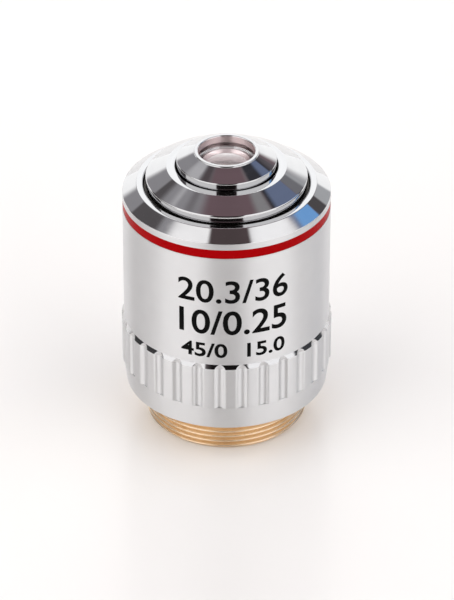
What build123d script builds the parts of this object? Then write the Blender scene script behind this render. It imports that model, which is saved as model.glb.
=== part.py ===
"""Microscope objective for a standard threaded nosepiece, in millimetres.

+Z is the optical axis, towards the specimen. The origin is the centre of the
thread's end face, so the objective stands on its thread as it is set down on a
bench. The front of the object faces -Y.
"""

import os
from math import cos, radians, sin, sqrt

from build123d import *

# Mount: the standard objective thread and the standard parfocal distance
thread_radius = 10.16
thread_length = 5.0
thread_chamfer = 0.5
relief_width = 0.8
relief_depth = 0.6
parfocal_distance = 45.0
working_distance = 12.1
mount_wall = 1.66
neck_step = 0.14
neck_wall = 1.35
neck_length = 9.0
flange_width = 0.9
flange_thickness = 1.2

# Grip ring
ring_step = 0.3
ring_height = 9.65
shoulder_round = 0.25
band_step = 0.17
band_taper = 0.37
band_height = 3.3
ring_chamfer_height = 0.52
ring_web = 1.8
flute_count = 30
flute_cutter_radius = 0.88
flute_depth = 0.3
flute_phase = 2.3

# Outer sleeve and its colour band
sleeve_wall = 1.52
sleeve_rim_width = 0.84
sleeve_bevel_height = 1.18
sleeve_lip_height = 1.85
sleeve_round = 0.2
strip_height = 0.85
colour_band_height = 1.24
colour_groove_depth = 0.3
enamel_recess = 0.03

# Barrel cap, the middle tier
cap_seat_width = 1.09
cap_rim_width = 1.08
cap_cone_height = 1.44
cap_stand = 2.37
cap_gap = 0.31
cap_round = 0.22
cap_wall = 1.6

# Nose
nose_seat_width = 0.62
nose_rim_width = 0.54
nose_lip_width = 0.87
nose_cone_height = 1.07
nose_rim_land = 0.01
nose_stand = 2.08
nose_gap = 0.18
nose_round = 0.14
nose_rim_height = nose_round + nose_rim_land
nose_lip_height = 0.93
spigot_wall = 1.18
spigot_length = 2.9

# Body tube, lens barrel and what locates them
tube_wall = 1.08
tube_upper_wall = 1.8
barrel_tail_wall = 1.45
barrel_tail_gap = 1.0
barrel_flange_height = 1.3
barrel_neck_length = 1.4
ledge_thickness = 1.2
shim_thickness = 0.2
shim_width = 0.65
screw_count = 3
screw_radius = 0.8
screw_height = 9.5
screw_slot_width = 0.3
screw_slot_depth = 0.5

# Rear baffle
baffle_depth = 6.6
baffle_thickness = 0.8
baffle_width = 2.3
baffle_edge = 0.2
baffle_seat = 0.4
baffle_seat_height = 1.4

# Lens train: radii of curvature, edge thicknesses of crowns and centre thicknesses of flints
front_glass_radius = 4.4
front_seat_width = 0.7
front_lens_top = 11.0
front_lens_low = 12.0
front_lens_edge = 1.65
front_spacer_length = 0.6
meniscus_top = 10.0
meniscus_low = 14.0
meniscus_thickness = 1.5
front_ring_length = 1.1
train_seat_width = 0.75
upper_top = 26.0
upper_joint = 20.0
upper_low = 80.0
upper_crown_edge = 0.75
upper_flint_thickness = 1.6
upper_spacer_length = 5.3
stop_width = 1.9
stop_thickness = 0.4
lower_spacer_length = 1.8
lower_top = 28.0
lower_joint = 18.0
lower_low = 24.0
lower_flint_thickness = 1.4
lower_crown_edge = 0.7
rear_ring_length = 1.8
spanner_slot_width = 0.8
spanner_slot_depth = 0.6
cement = 0.02

# Clearances: a screwed or pushed fit, glass in its bore, an end gap left free
fit = 0.02
glass_fit = 0.05
end_gap = 0.1
slack = 0.3

# Heights above the thread's end face
shoulder_z = thread_length
front_z = shoulder_z + parfocal_distance - working_distance
flange_top_z = shoulder_z + flange_thickness
neck_top_z = flange_top_z + neck_length
web_top_z = flange_top_z + ring_web
ring_top_z = shoulder_z + ring_height
cap_rim_z = front_z - nose_stand
sleeve_rim_z = cap_rim_z - cap_stand
sleeve_edge_z = sleeve_rim_z - sleeve_bevel_height
colour_top_z = sleeve_edge_z - strip_height
colour_low_z = colour_top_z - colour_band_height
lip_z = sleeve_rim_z - sleeve_lip_height
tube_top_z = lip_z - end_gap
barrel_seat_z = tube_top_z + shim_thickness
cap_seat_z = barrel_seat_z + barrel_flange_height
barrel_top_z = cap_seat_z + barrel_neck_length
spigot_low_z = barrel_top_z - spigot_length
ledge_top_z = spigot_low_z - end_gap
ledge_z = ledge_top_z - ledge_thickness
baffle_seat_z = baffle_depth
tail_step_z = baffle_seat_z + baffle_seat_height
barrel_low_z = tail_step_z + barrel_tail_gap

# Radii from the thread outwards: mount, tube, sleeve and ring
rear_bore_radius = thread_radius - mount_wall
neck_radius = thread_radius + neck_step
flange_radius = neck_radius + flange_width
tube_radius = neck_radius + fit + tube_wall
sleeve_bore_radius = tube_radius + glass_fit
sleeve_radius = sleeve_bore_radius + sleeve_wall
ring_radius = sleeve_radius + ring_step
band_radius = ring_radius - band_step
shoulder_radius = band_radius - band_taper

# Radii from the tube inwards: barrel, lens bore, baffle and stop
tube_bore_radius = tube_radius - tube_upper_wall
barrel_radius = tube_bore_radius - glass_fit
tail_bore_radius = neck_radius - neck_wall
barrel_tail_radius = tail_bore_radius - end_gap
barrel_bore_radius = barrel_tail_radius - barrel_tail_wall
glass_radius = barrel_bore_radius - glass_fit
train_seat_radius = barrel_bore_radius - train_seat_width
baffle_hole_radius = rear_bore_radius - baffle_width
stop_radius = barrel_bore_radius - stop_width

# Radii of the cap, and of the nose from its glass outwards
cap_thread_radius = barrel_radius - cap_seat_width
cap_radius = cap_thread_radius + cap_wall
lip_radius = cap_radius + cap_gap
sleeve_rim_radius = lip_radius + sleeve_rim_width
front_bore_radius = front_glass_radius + fit
front_seat_radius = front_glass_radius - front_seat_width
nose_bore_radius = front_glass_radius - nose_lip_width
nose_rim_radius = nose_bore_radius + nose_rim_width
spigot_radius = front_bore_radius + spigot_wall
nose_radius = spigot_radius + nose_seat_width
cap_bore_radius = nose_radius + nose_gap
cap_rim_radius = cap_bore_radius + cap_rim_width


def outline(*points):
    """Draws a closed outline in the sketch in hand, each point a radius and a height."""
    with BuildLine() as line:
        Polyline(*points, close=True)
    make_face(line.edges())


def band(inner, outer, low, high, mode=Mode.ADD):
    """Draws the section of a plain ring between two radii and two heights."""
    with Locations((inner, low)):
        Rectangle(outer - inner, high - low, align=(Align.MIN, Align.MIN), mode=mode)


def edge_at(part, radius, height):
    """Finds the circular edge of one radius at one height."""
    near = 0.001
    circles = part.edges().filter_by(GeomType.CIRCLE)
    return circles.filter_by(
        lambda e: abs(e.radius - radius) < near and abs(e.arc_center.Z - height) < near
    )


def sag(curve, radius):
    """Depth of a sphere of one curvature at a distance from its axis."""
    return curve - sqrt(curve**2 - radius**2)


def finish(part, name):
    """Labels a finished piece and writes it."""
    part.part.label = name
    export_step(part.part, f"parts/{name}.step")
    print(f"{name}: {len(part.part.solids())} solid, {part.part.volume:.2f} mm3")


os.makedirs("parts", exist_ok=True)

# Brass mount with its thread's outer cylinder, relief groove, flange and neck
with BuildPart() as threaded_mount:
    with BuildSketch(Plane.XZ):
        outline(
            (rear_bore_radius, 0),
            (thread_radius, 0),
            (thread_radius, shoulder_z - relief_width),
            (thread_radius - relief_depth, shoulder_z - relief_width),
            (thread_radius - relief_depth, shoulder_z),
            (flange_radius, shoulder_z),
            (flange_radius, flange_top_z),
            (neck_radius, flange_top_z),
            (neck_radius, neck_top_z),
            (tail_bore_radius, neck_top_z),
            (tail_bore_radius, tail_step_z),
            (rear_bore_radius - baffle_seat, tail_step_z),
            (rear_bore_radius - baffle_seat, baffle_seat_z),
            (rear_bore_radius, baffle_seat_z),
        )
    revolve(axis=Axis.Z)
    chamfer(edge_at(threaded_mount, thread_radius, 0), thread_chamfer)
    chamfer(edge_at(threaded_mount, rear_bore_radius, 0), thread_chamfer)
    chamfer(edge_at(threaded_mount, neck_radius, neck_top_z), thread_chamfer)
finish(threaded_mount, "threaded_mount")

# Baffle ring with a knife edge, screwed in from the rear against its seat
with BuildPart() as rear_baffle:
    with BuildSketch(Plane.XZ):
        outline(
            (baffle_hole_radius, baffle_seat_z),
            (baffle_hole_radius, baffle_seat_z - baffle_edge),
            (baffle_hole_radius + baffle_thickness - baffle_edge, baffle_seat_z - baffle_thickness),
            (rear_bore_radius - fit, baffle_seat_z - baffle_thickness),
            (rear_bore_radius - fit, baffle_seat_z),
        )
    revolve(axis=Axis.Z)
    with BuildSketch(Plane.XY.offset(baffle_seat_z - baffle_thickness)):
        Rectangle(2 * rear_bore_radius, spanner_slot_width)
    extrude(amount=baffle_thickness / 2, mode=Mode.SUBTRACT)
finish(rear_baffle, "rear_baffle")

# Grip ring: shoulder, tapered plain band, fluted land and chamfered top
with BuildPart() as grip_ring:
    land_low_z = shoulder_z + band_height
    with BuildSketch(Plane.XZ):
        outline(
            (flange_radius + fit, shoulder_z),
            (shoulder_radius, shoulder_z),
            (band_radius, land_low_z),
            (ring_radius, land_low_z),
            (ring_radius, ring_top_z - ring_chamfer_height),
            (sleeve_radius, ring_top_z),
            (tube_radius + end_gap, ring_top_z),
            (tube_radius + end_gap, web_top_z),
            (neck_radius + fit, web_top_z),
            (neck_radius + fit, flange_top_z),
            (flange_radius + fit, flange_top_z),
        )
    revolve(axis=Axis.Z)
    fillet(edge_at(grip_ring, shoulder_radius, shoulder_z), shoulder_round)
    cutter_centre = ring_radius - flute_depth + flute_cutter_radius
    with BuildSketch(Plane.XY.offset(land_low_z)):
        with PolarLocations(cutter_centre, flute_count, start_angle=flute_phase):
            Circle(flute_cutter_radius)
    extrude(amount=ring_height, mode=Mode.SUBTRACT)
finish(grip_ring, "grip_ring")

# Outer sleeve: seats on the ring, closes over the body tube with a bevelled lip
with BuildPart() as outer_sleeve:
    with BuildSketch(Plane.XZ):
        outline(
            (sleeve_bore_radius, ring_top_z),
            (sleeve_radius, ring_top_z),
            (sleeve_radius, sleeve_edge_z),
            (sleeve_rim_radius, sleeve_rim_z),
            (lip_radius, sleeve_rim_z),
            (lip_radius, lip_z),
            (sleeve_bore_radius, lip_z),
        )
        band(sleeve_radius - colour_groove_depth, sleeve_radius, colour_low_z, colour_top_z, Mode.SUBTRACT)
    revolve(axis=Axis.Z)
    fillet(edge_at(outer_sleeve, sleeve_rim_radius, sleeve_rim_z), sleeve_round)
    fillet(edge_at(outer_sleeve, lip_radius, sleeve_rim_z), sleeve_round)
    fillet(edge_at(outer_sleeve, sleeve_radius, sleeve_edge_z), sleeve_round / 2)
finish(outer_sleeve, "outer_sleeve")

# Enamel that fills the sleeve's groove
with BuildPart() as colour_band:
    with BuildSketch(Plane.XZ):
        groove_radius = sleeve_radius - colour_groove_depth
        band(groove_radius + fit / 2, sleeve_radius - enamel_recess, colour_low_z, colour_top_z)
    revolve(axis=Axis.Z)
finish(colour_band, "colour_band")


def on_screws():
    """Planes of the centring screws, each facing outwards from the barrel's wall."""
    planes = []
    for index in range(screw_count):
        angle = radians(360 / screw_count * index - 90)
        out = Vector(cos(angle), sin(angle), 0)
        foot = out * (barrel_radius + fit) + Vector(0, 0, neck_top_z + screw_height)
        planes.append(Plane(origin=foot, z_dir=out))
    return planes


# Body tube: screwed on the neck, clamps the grip ring, carries barrel and sleeve
with BuildPart() as body_tube:
    with BuildSketch(Plane.XZ):
        band(neck_radius + fit, tube_radius, web_top_z, neck_top_z + slack)
        band(tube_bore_radius, tube_radius, neck_top_z + slack, tube_top_z)
    revolve(axis=Axis.Z)
    for plane in on_screws():
        with BuildSketch(plane):
            Circle(screw_radius + fit)
        extrude(amount=tube_radius, mode=Mode.SUBTRACT)
finish(body_tube, "body_tube")

# Slotted grub screws that reach from the tube's face to the barrel
with BuildPart() as centring_screws:
    screw_length = tube_radius - barrel_radius - end_gap
    for plane in on_screws():
        with BuildSketch(plane):
            Circle(screw_radius)
        extrude(amount=screw_length)
        with BuildSketch(plane.offset(screw_length - screw_slot_depth)):
            Rectangle(3 * screw_radius, screw_slot_width)
        extrude(amount=screw_slot_depth, mode=Mode.SUBTRACT)
finish(centring_screws, "centring_screws")

# Shim between the tube's end and the barrel's flange
with BuildPart() as parfocal_shim:
    with BuildSketch(Plane.XZ):
        band(tube_bore_radius, tube_bore_radius + shim_width, tube_top_z, barrel_seat_z)
    revolve(axis=Axis.Z)
finish(parfocal_shim, "parfocal_shim")

# Lens barrel: tail, body, flange and neck outside, lens bore and ledge inside
with BuildPart() as lens_barrel:
    tail_top_z = neck_top_z + slack + end_gap
    with BuildSketch(Plane.XZ):
        outline(
            (barrel_bore_radius, barrel_low_z),
            (barrel_tail_radius, barrel_low_z),
            (barrel_tail_radius, tail_top_z),
            (barrel_radius, tail_top_z),
            (barrel_radius, barrel_seat_z),
            (tube_bore_radius + shim_width, barrel_seat_z),
            (tube_bore_radius + shim_width, cap_seat_z),
            (cap_thread_radius, cap_seat_z),
            (cap_thread_radius, barrel_top_z),
            (spigot_radius + fit, barrel_top_z),
            (spigot_radius + fit, ledge_top_z),
            (train_seat_radius, ledge_top_z),
            (train_seat_radius, ledge_z),
            (barrel_bore_radius, ledge_z),
        )
    revolve(axis=Axis.Z)
finish(lens_barrel, "lens_barrel")

# Barrel cap: screwed on the barrel's neck down to its flange
with BuildPart() as barrel_cap:
    roof_z = barrel_top_z + end_gap
    with BuildSketch(Plane.XZ):
        outline(
            (cap_thread_radius + fit, cap_seat_z),
            (cap_radius, cap_seat_z),
            (cap_radius, cap_rim_z - cap_cone_height),
            (cap_rim_radius, cap_rim_z),
            (cap_bore_radius, cap_rim_z),
            (cap_bore_radius, roof_z),
            (cap_thread_radius + fit, roof_z),
        )
    revolve(axis=Axis.Z)
    fillet(edge_at(barrel_cap, cap_radius, cap_rim_z - cap_cone_height), cap_round)
    fillet(edge_at(barrel_cap, cap_bore_radius, cap_rim_z), cap_round / 2)
finish(barrel_cap, "barrel_cap")

# Nose: seats on the barrel's end, its spigot in the bore, lens lip at the front
with BuildPart() as front_cell:
    lens_lip_z = front_z - nose_lip_height
    nose_edge_z = front_z - nose_rim_height - nose_cone_height
    with BuildSketch(Plane.XZ):
        outline(
            (front_bore_radius, spigot_low_z),
            (spigot_radius, spigot_low_z),
            (spigot_radius, barrel_top_z),
            (nose_radius, barrel_top_z),
            (nose_radius, nose_edge_z),
            (nose_rim_radius, front_z - nose_rim_height),
            (nose_rim_radius, front_z),
            (nose_bore_radius, front_z),
            (nose_bore_radius, lens_lip_z),
            (front_bore_radius, lens_lip_z),
        )
    revolve(axis=Axis.Z)
    fillet(edge_at(front_cell, nose_radius, nose_edge_z), nose_round)
    fillet(edge_at(front_cell, nose_rim_radius, front_z), nose_round)
    fillet(edge_at(front_cell, nose_bore_radius, front_z), nose_round)
finish(front_cell, "front_cell")


def lens(rim, seat, top_z, thickness, top, low, top_flat=False, low_flat=False):
    """Draws half a lens section by its top vertex. A negative curve is a hollow face,
    and a flat is the bevelled rim outside the seat circle of a hollow face."""
    low_z = top_z - thickness

    def height(curve, radius, on_top):
        drop = sag(abs(curve), radius)
        return top_z - drop * (1 if curve > 0 else -1) if on_top else low_z + drop * (1 if curve > 0 else -1)

    top_reach = seat if top_flat else rim
    low_reach = seat if low_flat else rim
    top_edge = (top_reach, height(top, top_reach, True))
    low_edge = (low_reach, height(low, low_reach, False))
    with BuildLine() as line:
        ThreePointArc((0, top_z), (top_reach / 2, height(top, top_reach / 2, True)), top_edge)
        ThreePointArc((0, low_z), (low_reach / 2, height(low, low_reach / 2, False)), low_edge)
        Line((0, low_z), (0, top_z))
        Polyline(*dict.fromkeys([top_edge, (rim, top_edge[1]), (rim, low_edge[1]), low_edge]))
    make_face(line.edges())


# Front lens: its domed face rests on the edge of the nose's lip
front_lens_z = lens_lip_z + sag(front_lens_top, nose_bore_radius)
front_lens_thickness = (
    front_lens_edge + sag(front_lens_top, front_glass_radius) - sag(front_lens_low, front_seat_radius)
)
with BuildPart() as front_lens:
    with BuildSketch(Plane.XZ):
        lens(
            front_glass_radius, front_seat_radius, front_lens_z, front_lens_thickness,
            front_lens_top, -front_lens_low, low_flat=True,
        )
    revolve(axis=Axis.Z)
finish(front_lens, "front_lens")

# Spacer between the two lenses of the nose
spacer_top_z = front_lens_z - front_lens_thickness - sag(front_lens_low, front_seat_radius)
spacer_low_z = spacer_top_z - front_spacer_length
with BuildPart() as front_spacer:
    with BuildSketch(Plane.XZ):
        band(front_seat_radius, front_glass_radius, spacer_low_z, spacer_top_z)
    revolve(axis=Axis.Z)
finish(front_spacer, "front_spacer")

# Meniscus behind the front lens
meniscus_z = spacer_low_z + sag(meniscus_top, front_seat_radius)
with BuildPart() as front_meniscus:
    with BuildSketch(Plane.XZ):
        lens(
            front_glass_radius, front_seat_radius, meniscus_z, meniscus_thickness,
            meniscus_top, -meniscus_low, low_flat=True,
        )
    revolve(axis=Axis.Z)
finish(front_meniscus, "front_meniscus")


def slotted_ring(inner, outer, low, high):
    """Makes a threaded retaining ring with a spanner slot across its rear face."""
    with BuildSketch(Plane.XZ) as section:
        band(inner, outer, low, high)
    revolve(section.sketch, axis=Axis.Z)
    with BuildSketch(Plane.XY.offset(low)) as slot:
        Rectangle(3 * outer, spanner_slot_width)
    extrude(slot.sketch, amount=spanner_slot_depth, mode=Mode.SUBTRACT)


# Retaining ring of the nose
front_ring_z = meniscus_z - meniscus_thickness - sag(meniscus_low, front_seat_radius)
with BuildPart() as front_lens_ring:
    slotted_ring(front_seat_radius, front_glass_radius, front_ring_z - front_ring_length, front_ring_z)
finish(front_lens_ring, "front_lens_ring")

# Upper doublet, its domed face on the edge of the barrel's ledge
upper_z = ledge_z + sag(upper_top, train_seat_radius)
upper_crown_thickness = upper_crown_edge + sag(upper_top, glass_radius) + sag(upper_joint, glass_radius)
with BuildPart() as upper_crown:
    with BuildSketch(Plane.XZ):
        lens(glass_radius, train_seat_radius, upper_z, upper_crown_thickness, upper_top, upper_joint)
    revolve(axis=Axis.Z)
finish(upper_crown, "upper_crown")

upper_flint_z = upper_z - upper_crown_thickness - cement
with BuildPart() as upper_flint:
    with BuildSketch(Plane.XZ):
        lens(
            glass_radius, train_seat_radius, upper_flint_z, upper_flint_thickness,
            -upper_joint, upper_low,
        )
    revolve(axis=Axis.Z)
finish(upper_flint, "upper_flint")

# Spacers either side of the aperture stop
upper_spacer_z = upper_flint_z - upper_flint_thickness + sag(upper_low, train_seat_radius)
stop_top_z = upper_spacer_z - upper_spacer_length
stop_low_z = stop_top_z - stop_thickness
lower_spacer_z = stop_low_z - lower_spacer_length
train_ring_radius = barrel_bore_radius - fit
with BuildPart() as upper_spacer:
    with BuildSketch(Plane.XZ):
        band(train_seat_radius, train_ring_radius, stop_top_z, upper_spacer_z)
    revolve(axis=Axis.Z)
finish(upper_spacer, "upper_spacer")

with BuildPart() as aperture_stop:
    with BuildSketch(Plane.XZ):
        outline(
            (stop_radius, stop_top_z),
            (stop_radius + stop_thickness, stop_low_z),
            (train_ring_radius, stop_low_z),
            (train_ring_radius, stop_top_z),
        )
    revolve(axis=Axis.Z)
finish(aperture_stop, "aperture_stop")

with BuildPart() as lower_spacer:
    with BuildSketch(Plane.XZ):
        band(train_seat_radius, train_ring_radius, lower_spacer_z, stop_low_z)
    revolve(axis=Axis.Z)
finish(lower_spacer, "lower_spacer")

# Lower doublet, its hollow face on the spacer by a flat rim
lower_flint_z = lower_spacer_z - sag(lower_top, train_seat_radius)
with BuildPart() as lower_flint:
    with BuildSketch(Plane.XZ):
        lens(
            glass_radius, train_seat_radius, lower_flint_z, lower_flint_thickness,
            -lower_top, -lower_joint, top_flat=True,
        )
    revolve(axis=Axis.Z)
finish(lower_flint, "lower_flint")

lower_crown_z = lower_flint_z - lower_flint_thickness - cement
lower_crown_thickness = lower_crown_edge + sag(lower_joint, glass_radius) + sag(lower_low, glass_radius)
with BuildPart() as lower_crown:
    with BuildSketch(Plane.XZ):
        lens(
            glass_radius, train_seat_radius, lower_crown_z, lower_crown_thickness,
            lower_joint, lower_low,
        )
    revolve(axis=Axis.Z)
finish(lower_crown, "lower_crown")

# Retaining ring of the lens train
rear_ring_z = lower_crown_z - lower_crown_thickness + sag(lower_low, train_seat_radius)
with BuildPart() as rear_lens_ring:
    slotted_ring(train_seat_radius, train_ring_radius, rear_ring_z - rear_ring_length, rear_ring_z)
finish(rear_lens_ring, "rear_lens_ring")
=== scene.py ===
# %% [markdown]
# # A microscope objective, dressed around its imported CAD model
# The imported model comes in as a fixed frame, in metres, standing on its thread with +Z up
# and its front facing -Y. Its solids have the right form already, but a CAD export is made of
# flat triangles, and polished metal shows every one of them. So the pieces that show are
# turned again here as fine meshes of the same form, and the hidden ones keep their CAD mesh.

# %% Load the frame
import math
from collections import Counter
from functools import partial

import bmesh
import bpy
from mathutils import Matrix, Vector


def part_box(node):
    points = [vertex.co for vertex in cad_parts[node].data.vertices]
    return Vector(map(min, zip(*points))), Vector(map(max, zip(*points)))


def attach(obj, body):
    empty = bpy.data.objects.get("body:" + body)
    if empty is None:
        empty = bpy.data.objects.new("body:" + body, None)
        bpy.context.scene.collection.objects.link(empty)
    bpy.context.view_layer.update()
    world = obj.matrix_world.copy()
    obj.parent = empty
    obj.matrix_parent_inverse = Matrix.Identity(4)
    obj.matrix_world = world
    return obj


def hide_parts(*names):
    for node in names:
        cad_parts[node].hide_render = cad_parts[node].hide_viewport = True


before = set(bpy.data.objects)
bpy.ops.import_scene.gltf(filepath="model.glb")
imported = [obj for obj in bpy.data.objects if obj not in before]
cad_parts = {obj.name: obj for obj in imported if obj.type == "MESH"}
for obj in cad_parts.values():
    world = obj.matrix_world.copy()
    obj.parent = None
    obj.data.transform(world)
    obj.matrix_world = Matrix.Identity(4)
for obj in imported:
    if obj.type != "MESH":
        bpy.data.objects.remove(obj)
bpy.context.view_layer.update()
mm = 0.001


def reach(node):
    """Outer radius, lowest and highest point of a CAD node."""
    low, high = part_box(node)
    return max(high.x, high.y), low.z, high.z


# %% [markdown]
# ## Camera
# A long lens from about half a metre flattens the perspective, as product photographs do.
# The camera looks down by a little over a third of a right angle and aims below the middle
# of the object, which leaves room for the soft shadow at its foot.

# %% Place the camera
camera_distance = 493.5 * mm
camera_elevation = math.radians(32.88)
aim_height = 15.89 * mm
focal_length = 234.3
sensor_width = 36
photo_height = 600
shift_in_pixels = 0.4
nearest_seen = 0.01
farthest_seen = 20


def place_object(name, data):
    """Links a new object that shows a mesh, a curve, a lamp or a camera."""
    made = bpy.data.objects.new(name, data)
    bpy.context.scene.collection.objects.link(made)
    return made


camera = place_object("camera", bpy.data.cameras.new("camera"))
camera.data.lens = focal_length
camera.data.sensor_width = sensor_width
camera.data.shift_x = shift_in_pixels / photo_height
back = Vector((0, -math.cos(camera_elevation), math.sin(camera_elevation)))
camera.location = Vector((0, 0, aim_height)) + back * camera_distance
camera.rotation_mode = "QUATERNION"
camera.rotation_quaternion = (-back).to_track_quat("-Z", "Y")
camera.data.clip_start = nearest_seen
camera.data.clip_end = farthest_seen
bpy.context.scene.camera = camera
bpy.context.scene.view_settings.view_transform = "Standard"
print("camera at", [round(x, 4) for x in camera.location])


# %% [markdown]
# ## Helpers for node trees
# Materials and geometry are both built from nodes. These helpers keep each tree readable:
# add a node with its settings and inputs, do one step of arithmetic, declare a group's
# named inputs and outputs, and start a material from one shader.

# %% Node helpers
def plug(tree, socket, value):
    """Links a socket to an input, or sets the input's value."""
    if isinstance(value, bpy.types.NodeSocket):
        tree.links.new(value, socket)
    else:
        socket.default_value = value


def add(tree, kind, settings=None, **inputs):
    """Adds a node. Words joined by underscores name its inputs, i0, i1 count them."""
    made = tree.nodes.new(kind)
    for name, value in (settings or {}).items():
        setattr(made, name, value)
    for name, value in inputs.items():
        key = int(name[1:]) if name[1:].isdigit() else name.replace("_", " ")
        plug(tree, made.inputs[key], value)
    return made


def maths(tree, operation, *values):
    """One step of arithmetic on sockets or numbers."""
    made = tree.nodes.new("ShaderNodeMath")
    made.operation = operation
    for socket, value in zip(made.inputs, values):
        plug(tree, socket, value)
    return made.outputs[0]


def split(tree, vector):
    """The three parts of a vector."""
    return add(tree, "ShaderNodeSeparateXYZ", i0=vector).outputs


def axis_distance(tree, x, y):
    """How far a point lies from the Z axis."""
    squares = maths(tree, "ADD", maths(tree, "MULTIPLY", x, x), maths(tree, "MULTIPLY", y, y))
    return maths(tree, "SQRT", squares)


def ramp(tree, value, start, end, low=0.0, high=1.0, smooth=False):
    """The low value below the start, the high one above the end, and a slope between."""
    settings = {"interpolation_type": "SMOOTHSTEP"} if smooth else {}
    made = add(tree, "ShaderNodeMapRange", settings, Value=value, From_Min=start, From_Max=end,
               To_Min=low, To_Max=high)
    return made.outputs[0]


def mix(tree, mask, first, second):
    """A value that goes from the first to the second as the mask goes from 0 to 1."""
    return add(tree, "ShaderNodeMix", {"data_type": "FLOAT"}, i0=mask, i2=first, i3=second).outputs[0]


def tint(tree, mask, first, second):
    """The same for two colours, each a socket or three numbers."""
    first, second = ((*c, 1) if isinstance(c, tuple) else c for c in (first, second))
    return add(tree, "ShaderNodeMix", {"data_type": "RGBA"}, i0=mask, i6=first, i7=second).outputs[2]


def new_group(kind, name, inputs, outputs):
    """A node group with named inputs, each a socket type and a first value, and outputs."""
    tree = bpy.data.node_groups.new(name, kind)
    for label, (socket, value) in inputs.items():
        made = tree.interface.new_socket(label, in_out="INPUT", socket_type="NodeSocket" + socket)
        if value is not None:
            made.default_value = value
    for label, socket in outputs.items():
        tree.interface.new_socket(label, in_out="OUTPUT", socket_type="NodeSocket" + socket)
    return tree, tree.nodes.new("NodeGroupInput").outputs, tree.nodes.new("NodeGroupOutput").inputs


def finish(name, **shader_values):
    """A new material with one Principled shader, its constants set on the shader itself."""
    material = bpy.data.materials.new(name)
    material.use_nodes = True
    tree = material.node_tree
    tree.nodes.clear()
    shader = add(tree, "ShaderNodeBsdfPrincipled", **shader_values)
    plug(tree, add(tree, "ShaderNodeOutputMaterial").inputs["Surface"], shader.outputs[0])
    return material, tree, shader.inputs


# %% [markdown]
# ## The studio
# Polished metal has no colour of its own: it shows the room. So the room is drawn with
# care, as a world of soft boxes. They are laid out on a plan of the sky, seen from below:
# how many degrees right of the zenith, and how many in front of it, towards the camera.
# One node group draws a soft-edged box on that plan, and each box is one copy of it.

# %% Soft box group
box_sizes = ("From left", "To right", "From back", "To front", "Lean", "Skew", "Softness")
sky_box_inputs = {
    "Right": ("Float", 0.0),
    "Front": ("Float", 0.0),
    "Below": ("Color", (0, 0, 0, 1)),
    "Light": ("Color", (1, 1, 1, 1)),
    **{size: ("Float", 0.0) for size in box_sizes},
}


def build_sky_box_group():
    tree, given, result = new_group("ShaderNodeTree", "sky box", sky_box_inputs, {"Light": "Color"})
    across = maths(tree, "MULTIPLY_ADD", given["Front"], given["Lean"], given["Right"])
    along = maths(tree, "MULTIPLY_ADD", given["Right"], given["Skew"], given["Front"])
    inside = (
        maths(tree, "SUBTRACT", across, given["From left"]),
        maths(tree, "SUBTRACT", given["To right"], across),
        maths(tree, "SUBTRACT", along, given["From back"]),
        maths(tree, "SUBTRACT", given["To front"], along),
    )
    mask = 1.0
    half = maths(tree, "MULTIPLY", given["Softness"], 0.5)
    for edge in inside:
        share = ramp(tree, edge, maths(tree, "MULTIPLY", half, -1.0), half, smooth=True)
        mask = maths(tree, "MULTIPLY", mask, share)
    plug(tree, result["Light"], tint(tree, mask, given["Below"], given["Light"]))
    return tree


sky_box = build_sky_box_group()

# %% [markdown]
# Two large soft boxes stand left and right in front, with a dark gap between them that
# gives the front of each cone its dark patch. Behind is a white panel, with grey walls and
# darker stands beside it and one blue card at the right. Near the horizon the room is
# white, apart from a dark side wall at the left and the right, which the flanks of the
# satin barrel mirror. Each row gives a box's left, right, back and front edge in degrees,
# how much it leans and skews, the softness of its edges and its light. Later rows lie over
# earlier ones. The camera sees plain white instead of them all.

# %% Draw the sky
zenith_light = (0.21, 0.14, 0.158)
horizon_light = (1.40, 1.40, 1.40)
horizon_from = 62
horizon_to = 73
straight_up = 0.0001
background_white = (1, 1, 1)
sky_boxes = {
    "ceiling": (-60, 60, 4, 40, 0, 0, 14, (0.10, 0.076, 0.078)),
    "camera side": (-26, 26, 34, 100, 0, 0, 20, (0.012, 0.010, 0.010)),
    "left side wall": (-110, -50, -40, 30, 0, 0, 10, (0.07, 0.068, 0.07)),
    "right side wall": (50, 110, -40, 30, 0, 0, 10, (0.07, 0.072, 0.08)),
    "left wall": (-52, -16, -60, 0, 0, 0, 10, (0.38, 0.37, 0.39)),
    "left dark": (-24, -14, -17, -8, 0, 0, 7, (0.12, 0.10, 0.108)),
    "left reflector": (-32, -23, -34, -17, 0, 0, 4, (0.64, 0.63, 0.65)),
    "left stand": (-68, -38, -38, -6, 0.08, 0, 3, (0.13, 0.12, 0.125)),
    "right light": (18, 28, -13, -4, 0, 0, 6, (0.34, 0.33, 0.34)),
    "right dark": (16, 34.5, -49, -12.5, 0, 0, 3, (0.05, 0.05, 0.06)),
    "right wall": (29, 39.5, -36, -13, 0, 0, 3, (0.19, 0.235, 0.366)),
    "right low wall": (34.5, 40, -53, -36, 0, 0, 3, (0.24, 0.24, 0.26)),
    "blue card": (39.5, 55, -34.5, -13, 0, 0, 2, (0.235, 0.515, 0.985)),
    "right stand": (40, 55, -48, -34.5, 0, 0, 2, (0.11, 0.10, 0.105)),
    "right grey": (37, 52, -66, -48, 0, 0, 4, (0.55, 0.56, 0.58)),
    "back panel": (-19, 19, -100, -41, 0, 0, 5, (1.50, 1.51, 1.52)),
    "left soft box": (-68, -7.9, 11.5, 150, 0.29, -0.515, 3, (1.40, 1.38, 1.38)),
    "right soft box": (12.2, 68, 18.4, 170, -0.21, 0.83, 3, (1.40, 1.39, 1.40)),
}


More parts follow.
